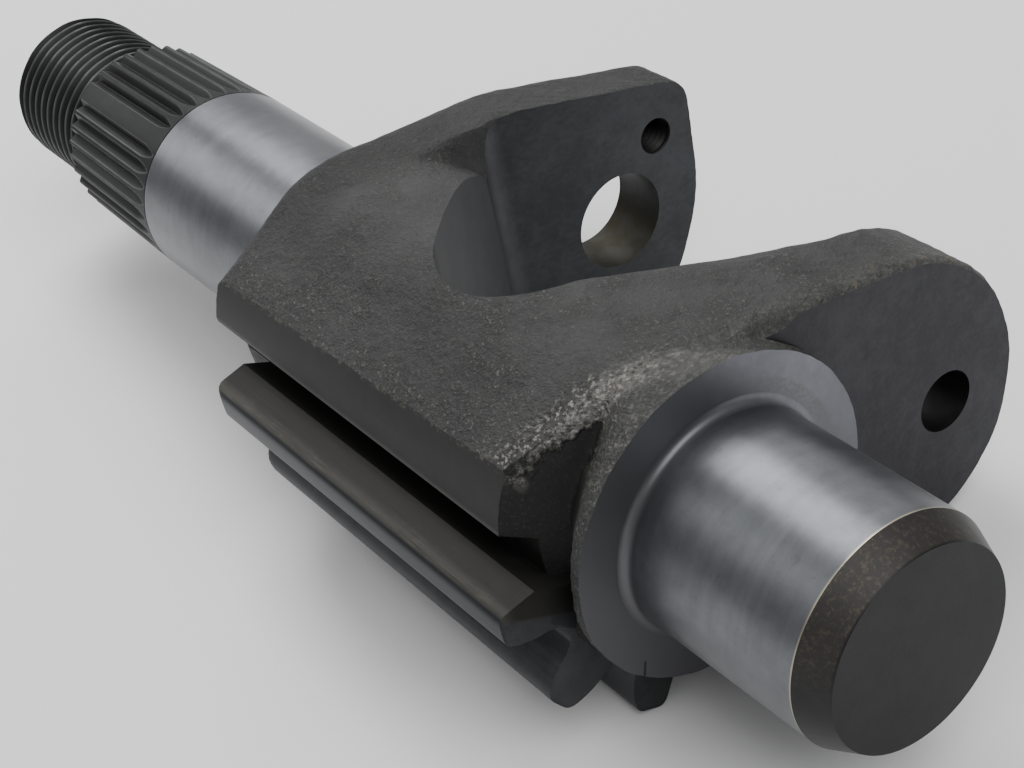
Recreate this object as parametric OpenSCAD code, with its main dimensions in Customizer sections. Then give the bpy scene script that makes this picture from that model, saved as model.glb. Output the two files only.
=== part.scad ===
// Forged yoke shaft: one forging with a forked head, a three-tooth gear sector on its back,
// two bearing journals, taper serrations and a threaded end.
// Inside the modules X runs along the shaft from the thrust face, +X to the plain end,
// Y points to the fork and Z is up. The last transform rolls the part to the way it lies.

/* [Shaft] */
// Diameter of both bearing journals
journal_d = 38.1; // [36:0.1:40]
// Length of the plain-end journal from the thrust face to the end of the shaft
plain_journal_len = 41; // [30:0.5:60]
// Length of the chamfer on the plain end
end_chamfer_len = 5.5; // [2:0.5:8]
// Radial depth of the chamfer on the plain end
end_chamfer_depth = 2.4; // [1:0.1:4]
// Length of the journal between the head and the serrations
far_journal_len = 48.5; // [30:0.5:70]
// Diameter of the thrust disc
disc_d = 55.4; // [50:0.2:60]
// Thickness of the thrust disc at its rim
rim_t = 1.8; // [1:0.1:3]
// Distance from the thrust face to the foot of the disc's conical back
disc_t = 6; // [4:0.5:8]
// Diameter at the foot of the disc's conical back
cone_d = 47; // [44:0.5:50]
// Radius of the ring that fills the corner of journal and disc
root_ring_r = 1.5; // [0.5:0.1:2.5]

/* [Serrated and threaded end] */
// Length of the serrations
serration_len = 34.5; // [24:0.5:45]
// Diameter over the serrations next to the journal
serration_d = 38.1; // [36:0.1:40]
// Diameter over the serrations next to the thread
serration_tip_d = 36.9; // [35.5:0.1:38]
// Number of serrations in a full turn
serrations = 36; // [24:1:40]
// Depth of a serration groove
serration_depth = 1.3; // [0.8:0.1:1.6]
// Length of the threaded end
thread_len = 30.5; // [20:0.5:45]
// Outer diameter of the thread
thread_d = 31.75; // [28:0.05:34]
// Distance from turn to turn of the thread
thread_pitch = 2.82; // [2:0.01:4]
// Depth of the thread
thread_depth = 1.5; // [1:0.05:1.9]

/* [Forked head] */
// Length of the head along the shaft
head_len = 100.5; // [94:0.5:115]
// Width of the fork between the machined ear faces
fork_gap = 70.8; // [62:0.2:74]
// Thickness of the ear at the serrated end
far_ear_t = 12.2; // [9:0.2:16]
// Distance of the plain-end ear face behind the thrust face
near_face_back = 3.5; // [2:0.5:4.5]
// Distance from the shaft axis to the pin axis
pin_reach = 50.8; // [46:0.2:53]
// Reach of the ear tip past the pin axis at the serrated end
far_tip = 19.2; // [17:0.2:24]
// Reach of the ear tip past the pin axis at the plain end
near_tip = 15.5; // [13:0.2:20]
// Height of the head above the shaft axis
head_top = 29.6; // [28.6:0.1:32]
// Depth of the ears below the shaft axis
ear_bottom = 25; // [23:0.5:27]
// Barrel diameter at the serrated end
barrel_far_d = 52; // [50:0.2:53]
// Barrel diameter at the plain end
barrel_near_d = 55.2; // [53.6:0.2:55.4]
// Diameter of the machined band on the back of the barrel
band_d = 61.4; // [58:0.2:66]
// Distance from the thrust face to the machined band
band_back = 15.2; // [12:0.2:22]
// Lean of the closed end of the fork
fork_lean = 12.5; // [8:0.5:14]
// Distance of the closed end of the fork behind the shaft axis
fork_depth = 14.5; // [11:0.5:15]
// Radius in the closed end of the fork
fork_r = 17; // [12:0.5:17]
// Radius of the cutter that left the corner of fork and ear at the serrated end
corner_r = 8.3; // [6:0.1:10]

/* [Holes] */
// Pin bore in the ear at the serrated end
far_bore_d = 19.05; // [14:0.05:22]
// Pin bore in the ear at the plain end
near_bore_d = 11.1; // [8:0.05:16]
// Core diameter of the tapped hole for the locking screw
tap_d = 6.75; // [5:0.05:8]
// Distance of the tapped hole past the pin axis
tap_out = 8.1; // [6:0.1:10]
// Height of the tapped hole above the pin axis
tap_up = 15.4; // [14.5:0.1:18]

/* [Gear sector] */
// Number of teeth
teeth = 3; // [2:1:3]
// Angle from tooth to tooth
tooth_pitch = 32; // [30:0.5:34]
// Direction of the middle of the sector, counted from the fork side over the top
sector_dir = 226.5; // [222:0.5:230]
// Tip diameter of the teeth
tip_d = 75.8; // [70:0.2:80]
// Root diameter of the teeth
root_d = 57; // [54:0.2:60]
// Base circle diameter of the involute flanks
base_d = 62; // [60:0.5:64]
// Half the angle of a tooth at its tip
tooth_tip_half = 4.22; // [3.6:0.02:5]
// Distance from the thrust face to the teeth
sector_back = 6.5; // [5:0.5:12]
// Length of the teeth along the shaft
sector_len = 84.5; // [70:0.5:88]

/* [Hidden] */
$fn = 96;
eps = 0.2;
journal_r = journal_d / 2;
disc_r = disc_d / 2;
core_r = barrel_far_d / 2;
thread_r = thread_d / 2;
thread_chamfer = 1.8;
neck_len = 2.4;
neck_depth = 1.1;
far_face_x = -head_len;
far_ear_x = far_face_x + far_ear_t;
near_ear_x = far_ear_x + fork_gap;
near_face_x = -near_face_back;
serration_x = far_face_x - far_journal_len;
thread_x = serration_x - serration_len;
tail_x = thread_x - thread_len;
origin_x = (plain_journal_len - end_chamfer_len) / 2;
pin_z = 0.65;
edge_round = 3;
// Reach of the blocks that cut everything away on one side of a plane
far_away = 1.2 * head_len;
// Forging skin left in front of the machined face of the ear
skin_t = 1.4;

// Point at a distance and an angle from a centre
function polar(r, a, c = [0, 0]) = c + r * [cos(a), sin(a)];
// Arc of points about a centre
function arc(c, r, a0, a1, n = 10) = [for (i = [0:n]) polar(r, a0 + (a1 - a0) * i / n, c)];
function unit(v) = v / norm(v);
// Corner i of an outline whose corners are [x, y, radius], and its neighbours
function at(p, i) = let (q = p[(i + len(p)) % len(p)]) [q[0], q[1]];
function half_angle(a, b, c) = acos(unit(a - b) * unit(c - b)) / 2;
function corner_centre(a, b, c, r) = b + unit(unit(a - b) + unit(c - b)) * r / sin(half_angle(a, b, c));
function corner_end(a, b, c, r) = b + unit(a - b) * r / tan(half_angle(a, b, c));
// Where the line from the point q touches a circle about the shaft axis, on its upper side
function touch(q, r) = polar(r, atan2(q[1], q[0]) + acos(r / norm(q)));
// Arc that rounds the corner b of the path a-b-c with radius r
function corner(a, b, c, r, n) =
    let (o = corner_centre(a, b, c, r), from = corner_end(a, b, c, r) - o,
         turn = 180 - 2 * half_angle(a, b, c), s = cross(a - b, c - b) > 0 ? -1 : 1)
    arc(o, r, atan2(from[1], from[0]), atan2(from[1], from[0]) + s * turn, n);
// Outline with every corner rounded
function rounded(p, n = 10) =
    [for (i = [0:len(p) - 1]) each p[i][2] > 0
        ? corner(at(p, i - 1), at(p, i), at(p, i + 1), p[i][2], n) : [at(p, i)]];
// Plate with rounded corners, each a true circle
module round_plate(p) {
    polygon([for (i = [0:len(p) - 1]) let (a = at(p, i - 1), b = at(p, i), c = at(p, i + 1), r = p[i][2])
        each r > 0 ? [corner_end(a, b, c, r), corner_end(c, b, a, r)] : [b]]);
    for (i = [0:len(p) - 1]) if (p[i][2] > 0)
        translate(corner_centre(at(p, i - 1), at(p, i), at(p, i + 1), p[i][2])) circle(p[i][2] + 0.03);
}

// Corners of an ear seen along the shaft: its top starts as a tangent of the barrel
function ear_corners(barrel_r, shoulder, rest) =
    let (start = touch([shoulder[0], shoulder[1]], barrel_r))
    concat([[start[0], start[1], 0], shoulder], rest, [[-10, 0, 4]]);
// Ear at the serrated end
function far_corners(inset = 0) =
    let (tip = pin_reach + far_tip - inset, top = head_top - inset, low = -ear_bottom + inset)
    ear_corners(core_r - inset, [pin_reach / 2, top + 0.1, pin_reach],
        [[tip - 0.22 * far_tip, top - 0.115 * head_top, 0.2 * head_top],
         [tip + 0.04 * far_tip, 2, 1.15 * head_top], [tip - 0.31 * far_tip, low, 0.8 * ear_bottom],
         [4, low - 1, 6]]);
// Ear at the plain end
function near_corners(inset = 0) =
    let (tip = pin_reach + near_tip - inset, top = head_top - inset, low = -ear_bottom + inset)
    ear_corners(barrel_near_d / 2 - 0.4 - inset, [0.276 * pin_reach, top - 0.6, head_top],
        [[tip, top, 0.946 * head_top - inset], [tip, low, 0.98 * ear_bottom - inset], [4, low - 1, 6]]);

// Flat slice of an ear, used as a section of its rounded form
module slice(outline, x, t = eps)
    translate([x, 0, 0]) rotate([90, 0, 90]) linear_extrude(t) polygon(outline);

module along_shaft(x) translate([x, 0, 0]) rotate([0, 90, 0]) children();

module turned_shaft() {
    rotate([0, 90, 0]) rotate_extrude() polygon(concat(
        [[0, thread_x], [serration_tip_d / 2 - 1.2, thread_x], [serration_tip_d / 2, thread_x + 1.2],
         [serration_d / 2, serration_x], [journal_r, serration_x + 0.4],
         [journal_r, -disc_t], [cone_d / 2, -disc_t], [disc_r, -rim_t],
         [disc_r, -0.5], [disc_r - 0.5, 0]],
        arc([journal_r + root_ring_r, root_ring_r], root_ring_r, 270, 180, 6),
        [[journal_r, plain_journal_len - end_chamfer_len],
         [journal_r - end_chamfer_depth, plain_journal_len], [0, plain_journal_len]]));
}

// Threaded end: the turns are drawn as rings, with a neck next to the serrations
module thread_end() {
    neck_x = thread_x - neck_len;
    first_x = tail_x + thread_chamfer + thread_pitch / 2;
    turns = floor((neck_x - first_x) / thread_pitch);
    crest = thread_pitch / 16;
    root_w = thread_pitch / 12;
    core = thread_r - thread_depth;
    rotate([0, 90, 0]) rotate_extrude($fn = 48) polygon(concat(
        [[0, tail_x], [thread_r - thread_chamfer, tail_x], [thread_r, tail_x + thread_chamfer]],
        [for (i = [0:turns - 1]) let (x = first_x + i * thread_pitch, half = thread_pitch / 2 - crest)
            each [[thread_r, x - half], [core, x - root_w], [core, x + root_w], [thread_r, x + half]]],
        [[thread_r, neck_x], [thread_r - neck_depth, neck_x + neck_depth],
         [thread_r - neck_depth, thread_x + eps], [0, thread_x + eps]]));
}

// One serration groove: a V that follows the taper and runs out before the journal
module serration_groove() {
    taper = atan2((serration_d - serration_tip_d) / 2, serration_len);
    half_w = serration_depth * 0.85 + 0.4;
    runout = 5;
    translate([serration_x - runout, 0, serration_d / 2 - serration_depth])
        rotate([0, -taper, 0]) {
            translate([-serration_len, 0, 0]) groove_bar(serration_len, half_w);
            rotate([0, -14, 0]) translate([-1, 0, 0]) groove_bar(runout * 2, half_w);
        }
}
module groove_bar(len, half_w)
    rotate([90, 0, 90]) linear_extrude(len)
        polygon([[0, 0], [half_w * 1.6, serration_depth * 1.6 + 0.6], [-half_w * 1.6, serration_depth * 1.6 + 0.6]]);

// One groove is left out, as the mark that fixes the position of the arm
module serration_grooves()
    for (i = [1:serrations - 1]) rotate([i * 360 / serrations + 47.4, 0, 0]) serration_groove();

// Radius of the tapered barrel at a position along the shaft
function barrel_r(x) = core_r + (barrel_near_d / 2 - core_r) * (x - far_face_x) / (near_face_x - far_face_x);
// Barrel of the forging, slightly tapered, with its far edge rounded
module barrel() {
    near_r = barrel_near_d / 2;
    rotate([0, 90, 0]) rotate_extrude() polygon(concat(
        [[0, far_face_x]],
        arc([core_r - edge_round, far_face_x + edge_round], edge_round, 270, 360, 6),
        [[near_r, -rim_t - 1], [near_r - 1, -rim_t], [0, -rim_t]]));
}

// Thick back of the barrel: a turned band below a flat forged shoulder
module back_band() {
    back_r = band_d / 2;
    band_low = 178.3;
    shoulder_dir = 132;
    shoulder_draft = 1.2;
    intersection() {
        along_shaft(far_face_x) rotate_extrude() polygon(
            [[0, 0], [back_r - 0.8, 0], [back_r, 0.8], [back_r, head_len - band_back], [0, head_len - band_back]]);
        translate([far_face_x, 0, 0]) rotate([90, 0, 90]) linear_extrude(head_len) polygon(concat(
            [[0, 0], polar(core_r - 1, band_low + 2), polar(back_r, band_low)],
            arc([0, 0], back_r + 2, band_low, shoulder_dir, 8)));
        // Everything under the shoulder plane
        translate([far_face_x, 0, 0]) rotate([shoulder_dir - 90, 0, 0]) rotate([0, -shoulder_draft, 0])
            translate([-eps, -far_away / 2, -far_away])
                cube([head_len + 2 * eps, far_away, far_away + core_r]);
    }
}

// Angle that an involute from the base circle has turned at a radius
function involute(r) = let (a = acos(min(1, base_d / 2 / r))) tan(a) * 180 / PI - a;
// Half the angle of a tooth at a radius: the teeth keep their tips and widen to the base
function involute_half(r) = tooth_tip_half + involute(tip_d / 2) - involute(r);
function flank(mid, side) =
    [for (i = [0:6])
        let (r = base_d / 2 + (tip_d - base_d) / 2 * i / 6) polar(r, mid + side * involute_half(r))];
function reverse(p) = [for (i = [len(p) - 1:-1:0]) p[i]];
// Tooth outline with a filleted foot that reaches the root circle
function tooth(mid) =
    let (root_r = root_d / 2, foot = involute_half(base_d / 2) + 2.2)
    concat([[0, 0], polar(root_r, mid - foot - 2), polar(root_r + 0.5, mid - foot)],
        flank(mid, -1), reverse(flank(mid, 1)),
        [polar(root_r + 0.5, mid + foot), polar(root_r, mid + foot + 2)]);

module sector() {
    translate([-sector_back - sector_len, 0, 0]) rotate([90, 0, 90]) linear_extrude(sector_len) union() {
        for (i = [0:teeth - 1]) polygon(tooth(sector_dir + (i - (teeth - 1) / 2) * tooth_pitch));
        // Root land that joins the teeth
        span = tooth_pitch * (teeth - 1) / 2;
        polygon(concat([[0, 0]], arc([0, 0], root_d / 2, sector_dir - span, sector_dir + span, 12)));
    }
}

// Groove beside the first and the last tooth, down to the core of the barrel
module side_groove(side) {
    last = sector_dir + side * (tooth_pitch * (teeth - 1) / 2);
    // Angles from the middle of the tooth, tied to its half angle at the tip
    from = last + side * tooth_tip_half * 0.48;
    to = last + side * tooth_pitch / 2;
    edge = last + side * tooth_tip_half * 1.12;
    foot = last + side * tooth_tip_half * 1.6;
    over = last + side * tooth_tip_half * 2.1;
    tip_r = tip_d / 2;
    tip_break = 1.8;
    translate([far_face_x - 1, 0, 0]) rotate([90, 0, 90]) linear_extrude(head_len + 2)
        polygon(concat(arc([0, 0], core_r, from, to, 6),
            [polar(band_d / 2 + 3, to + side * 0.6), polar(tip_r + 1, over),
             polar(tip_r + 1, last + side * tooth_tip_half), polar(tip_r - tip_break, edge),
             polar((root_d + tip_d) / 4 - 2.2, foot)]));
}

module far_ear() {
    hull() {
        slice(rounded(far_corners(0.4 * edge_round)), far_face_x);
        slice(rounded(far_corners(0.1 * edge_round)), far_face_x + edge_round / 2);
        slice(rounded(far_corners()), far_face_x + far_ear_t / 3);
        slice(rounded(far_corners()), far_ear_x + skin_t);
    }
}
module near_ear() {
    hull() {
        slice(rounded(near_corners()), near_ear_x - skin_t);
        slice(rounded(near_corners()), near_face_x - edge_round);
        slice(rounded(near_corners(edge_round / 4)), near_face_x - eps);
    }
}
// Forged root that spreads from the ear at the plain end into the barrel
module near_root() {
    spread = 0.367 * fork_gap;
    reach = 0.59 * pin_reach;
    barrel_x = near_ear_x - spread;
    hull() {
        slice(rounded([near_corners()[0], [reach, head_top - 1.4, 6], [reach, -ear_bottom, 4], [-10, 0, 4]]),
            near_ear_x + 2);
        along_shaft(barrel_x) cylinder(r = barrel_r(barrel_x), h = eps, $fn = 48);
    }
}

// Where the flare of the fork would meet the ear at the serrated end
far_wall_y = 0.394 * pin_reach;
// Closed end of the fork, seen from above: it flares to both ears
function fork_plan() =
    let (end_y = -fork_depth, far_x = far_ear_x, near_x = near_ear_x,
         far_foot = far_x + 0.442 * fork_gap, near_foot = near_x - 0.294 * fork_gap,
         wall = unit([far_foot - far_x, -far_wall_y - fork_depth]), c = corner_at(),
         edge = [far_x, far_wall_y] + wall * (wall * (c - [far_x, far_wall_y])))
    [[far_x, far_away, 0], [far_x, c[1], 0], [c[0], c[1], 0], [edge[0], edge[1], 0], [far_foot, end_y, fork_r],
     [near_foot, end_y, fork_r], [near_x, 0.69 * pin_reach, 18], [near_x, far_away, 0]];
// Centre of the cutter in the corner at the serrated end
function corner_at() = [far_ear_x + corner_r, far_wall_y + 0.31 * corner_r];

module fork_space() {
    // The plan holds at the top of the closed end, and the wall leans from there
    plan_z = 0.81 * head_top;
    translate([0, 0, plan_z]) rotate([fork_lean, 0, 0])
        translate([0, 0, -0.65 * far_away]) linear_extrude(far_away) union() {
            round_plate(fork_plan());
            translate(corner_at()) circle(corner_r + 0.03);
        }
}

// Slanted forged face behind the thrust disc
module slanted_face() {
    slant = 36.9;
    face_tilt = 9;
    translate([-band_back, -band_d / 2, 0]) rotate([0, -face_tilt, -slant])
        translate([0, -far_away / 2, -far_away / 2]) cube(far_away);
}

module head() {
    difference() {
        union() {
            barrel();
            back_band();
        }
        slanted_face();
        side_groove(-1);
        side_groove(1);
    }
    difference() {
        sector();
        side_groove(-1);
        side_groove(1);
    }
    far_ear();
    near_ear();
    near_root();
}

module holes() {
    translate([far_face_x, pin_reach, pin_z]) {
        along_shaft(-1) cylinder(d = far_bore_d, h = far_ear_t + 4);
        along_shaft(far_ear_t) cylinder(d = near_bore_d, h = head_len);
        translate([0, tap_out, tap_up]) along_shaft(-1) cylinder(d = tap_d, h = far_ear_t + 4);
    }
}

// Slope of the line from the last tooth to the rounded lower corner i of an ear
function rest_slope(p, i) =
    let (foot = polar(tip_d / 2, sector_dir + (teeth - 1) / 2 * tooth_pitch + involute_half(tip_d / 2)),
         c = corner_centre(at(p, i - 1), at(p, i), at(p, i + 1), p[i][2]) - foot)
    atan2(c[1], c[0]) - asin(p[i][2] / norm(c));
// The part lies on the last tooth and the lower edge of an ear
rest_roll = -min(rest_slope(far_corners(), 4), rest_slope(near_corners(), 3));

module yoke_shaft()
    color([0.29, 0.29, 0.29])
    rotate([rest_roll, 0, 0]) translate([-origin_x, 0, 0])
        difference() {
            union() {
                turned_shaft();
                thread_end();
                head();
            }
            fork_space();
            serration_grooves();
            holes();
        }

yoke_shaft();
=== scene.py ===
import math

import bmesh
import bpy
import numpy as np
from mathutils import Matrix, Vector


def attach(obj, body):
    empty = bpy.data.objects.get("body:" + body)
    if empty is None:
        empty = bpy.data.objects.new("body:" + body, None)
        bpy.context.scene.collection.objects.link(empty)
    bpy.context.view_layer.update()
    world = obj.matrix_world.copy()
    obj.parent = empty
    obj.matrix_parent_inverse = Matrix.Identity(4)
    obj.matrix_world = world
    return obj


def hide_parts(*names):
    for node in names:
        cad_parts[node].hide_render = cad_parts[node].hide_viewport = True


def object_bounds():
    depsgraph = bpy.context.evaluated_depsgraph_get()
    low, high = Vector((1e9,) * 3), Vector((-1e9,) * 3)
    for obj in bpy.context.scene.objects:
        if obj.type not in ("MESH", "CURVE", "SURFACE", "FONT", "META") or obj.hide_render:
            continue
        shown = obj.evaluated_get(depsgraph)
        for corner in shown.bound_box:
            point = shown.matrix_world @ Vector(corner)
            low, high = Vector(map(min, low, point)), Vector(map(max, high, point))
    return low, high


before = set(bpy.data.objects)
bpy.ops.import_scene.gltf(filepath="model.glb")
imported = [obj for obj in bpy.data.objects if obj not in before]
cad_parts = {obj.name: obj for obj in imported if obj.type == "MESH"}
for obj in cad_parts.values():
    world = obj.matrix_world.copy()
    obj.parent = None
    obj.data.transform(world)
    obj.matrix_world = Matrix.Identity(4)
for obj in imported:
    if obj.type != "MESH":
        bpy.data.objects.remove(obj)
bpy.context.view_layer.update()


# Pieces are drawn on the shaft's axes: X from the thrust face to the plain end, Y to the fork, Z up, in
# millimetres. The part's own frame has its origin in the near journal and is rolled as the part rests.
resting = {"shift": 17.75, "roll": math.radians(-12.563), "bodyName": "root", "slotName": "forging"}


def rolled(points, angle):
    # Points turned about the shaft's axis
    x, y, z = np.asarray(points, dtype=float).T
    c = math.cos(angle)
    s = math.sin(angle)
    return np.stack([x, y * c - z * s, y * s + z * c], axis=1)


def toPart(points):
    # From the shaft in millimetres to the part in metres
    return (rolled(points, resting["roll"]) - (resting["shift"], 0, 0)) / 1000


def toShaft(points):
    # From the part in metres to the shaft in millimetres
    return rolled(points * 1000 + (resting["shift"], 0, 0), -resting["roll"])


# Camera, at the angle of the photograph
view = {
    "position": (0.18275, -0.14098, 0.21604),
    "right": (0.59033, 0.78632, -0.18225),
    "up": (-0.40097, 0.48164, 0.77926),
    "lens": 75.87,
}
cameraData = bpy.data.cameras.new("camera")
cameraData.sensor_width = 36
cameraData.lens = view["lens"]
cameraData.clip_start = 0.01
cameraData.clip_end = 20
camera = bpy.data.objects.new("camera", cameraData)
bpy.context.scene.collection.objects.link(camera)
right = Vector(view["right"]).normalized()
up = Vector(view["up"])
up = (up - right * up.dot(right)).normalized()
back = right.cross(up)
turn = Matrix((right, up, back)).transposed().to_4x4()
camera.matrix_world = Matrix.Translation(Vector(view["position"])) @ turn
bpy.context.scene.camera = camera
print("camera set")


class Wire:
    # One value in a material's node tree, with arithmetic written as in ordinary code
    def __init__(self, tree, socket):
        self.tree = tree
        self.socket = socket

    def node(self, kind, settings=None, inputs=None, output=0):
        made = self.tree.nodes.new(kind)
        for key, value in (settings or {}).items():
            setattr(made, key, value)
        for key, value in (inputs or {}).items():
            if isinstance(value, Wire):
                self.tree.links.new(value.socket, made.inputs[key])
            else:
                made.inputs[key].default_value = value
        return Wire(self.tree, made.outputs[output])

    def math(self, operation, *values):
        return self.node("ShaderNodeMath", {"operation": operation}, dict(enumerate(values)))

    def __add__(self, other):
        return self.math("ADD", self, other)

    def __radd__(self, other):
        return self.math("ADD", other, self)

    def __sub__(self, other):
        return self.math("SUBTRACT", self, other)

    def __rsub__(self, other):
        return self.math("SUBTRACT", other, self)

    def __mul__(self, other):
        return self.math("MULTIPLY", self, other)

    def __rmul__(self, other):
        return self.math("MULTIPLY", other, self)

    def __pow__(self, other):
        return self.math("POWER", self, other)

    def least(self, other):
        return self.math("MINIMUM", self, other)

    def most(self, other):
        return self.math("MAXIMUM", self, other)

    def absolute(self):
        return self.math("ABSOLUTE", self)

    def step(self, low, high):
        # 0 below low and 1 above high, with a smooth rise between
        settings = {"interpolation_type": "SMOOTHSTEP"}
        return self.node("ShaderNodeMapRange", settings, {0: self, 1: low, 2: high, 3: 0.0, 4: 1.0})

    def between(self, low, high, soft):
        return self.step(low - soft, low) * (1.0 - self.step(high, high + soft))

    def noise(self, scale, detail=2.0, rough=0.5, stretch=(1.0, 1.0, 1.0)):
        stretched = self.node("ShaderNodeMapping", {}, {"Vector": self, "Scale": stretch})
        inputs = {"Vector": stretched, "Scale": scale, "Detail": detail, "Roughness": rough}
        return self.node("ShaderNodeTexNoise", {}, inputs)

    def over(self, base, tone):
        # A tone laid over a base colour or over another tone, by this value
        under = base if isinstance(base, Wire) else linear(base)
        return self.node("ShaderNodeMix", {"data_type": "RGBA"}, {0: self, 6: under, 7: linear(tone)}, 2)

    def part(self, index):
        return self.node("ShaderNodeSeparateXYZ", {}, {0: self}, index)


def newMaterial(name):
    # A material with its shader, and a wire that carries the place on the shaft in millimetres
    material = bpy.data.materials.new(name)
    material.use_nodes = True
    tree = material.node_tree
    shader = tree.nodes["Principled BSDF"]
    source = tree.nodes.new("ShaderNodeAttribute")
    source.attribute_name = "shaftPlace"
    return material, shader, Wire(tree, source.outputs["Vector"])


def finishMaterial(material, shader, colour, roughness, height, distance, strength):
    links = material.node_tree.links
    links.new(colour.socket, shader.inputs["Base Color"])
    links.new(roughness.socket, shader.inputs["Roughness"])
    bump = height.node("ShaderNodeBump", {}, {"Height": height, "Distance": distance, "Strength": strength})
    links.new(bump.socket, shader.inputs["Normal"])


def aroundAxis(spot):
    # Y, Z and the distance from the shaft's axis
    y = spot.part(1)
    z = spot.part(2)
    return y, z, (y * y + z * z) ** 0.5


def linear(tone):
    # Linear colour of a tone given as it looks on a screen
    shares = [value / 255 for value in tone]
    return (*(((v + 0.055) / 1.055) ** 2.4 if v > 0.04045 else v / 12.92 for v in shares), 1.0)


# Sizes of the head: those of the solid, or a little inside it
head = {
    "farFace": -100.5, "farEar": -88.3, "nearEar": -17.5, "nearFace": -3.5, "pin": 50.8, "pinUp": 0.65,
    "farTip": 19.0, "nearTip": 15.4, "top": 29.5, "bottom": -24.85, "farR": 26.0, "nearR": 27.4,
    "bandR": 30.7, "bandBack": 15.2, "discR": 27.7, "boreR": 9.525, "pinHoleR": 5.55, "beyond": -110.0,
}
# The forging: stock on its cut faces, radii of edges and roots, the slanted face and the torn ridge above it
forging = {
    "stock": 1.5, "farStock": 0.8, "earRound": 3.6, "farRoot": -85.0, "farSpread": 3.8, "farSpreadOut": 13.2,
    "nearSpread": 30.0, "rootBlend": 0.8, "shoulderAngle": 132.0, "slant": 36.9, "slantTilt": 9.0,
    "edgeSoft": 0.8, "crease": 0.9, "ridgeR": 25.6, "ridgeFrom": -7.5, "ridgeRise": 0.072,
    "wave": 0.16, "cell": 0.62,
}
# The three teeth, with angles in degrees round the shaft
sector = {
    "teeth": 3, "pitch": 32.0, "middle": 226.5, "tipR": 37.86, "rootR": 28.5, "baseR": 31.0,
    "half": 9.4, "tipHalf": 4.22, "back": 6.5, "length": 84.5, "endRound": 3.2,
    "outerHalf": 4.8, "outerFoot": 6.7, "cornerR": 1.4, "cornerTurn": 2.0,
}
# The journals, the serrations and the thread
shaft = {
    "r": 19.05, "ring": 1.5, "nearEnd": 41.0, "chamfer": 5.5, "chamferDepth": 2.4, "serrationX": -149.0,
    "threadX": -183.5, "tailX": -214.0, "tipR": 18.45, "threadR": 15.875,
}


def slantNormal():
    # Where the slanted face behind the thrust disc looks
    turn = math.radians(forging["slant"])
    tilt = math.radians(forging["slantTilt"])
    return (math.cos(tilt) * math.cos(turn), -math.cos(tilt) * math.sin(turn), math.sin(tilt))


# Rough forged skin: smooth and darkened with painted shade on the slanted face, bright broken grains along
# its edge
forgedLook = {
    "metal": 0.5, "base": (47, 48, 47), "cloud": (60, 61, 60), "light": (94, 95, 91), "dark": (27, 27, 27),
    "pebble": (112, 113, 109), "bruised": (70, 69, 66), "grain": (144, 142, 137), "smooth": (14, 14, 14),
    "ridge": (112, 110, 106), "rust": (92, 84, 62), "relief": 0.00055,
}


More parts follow.
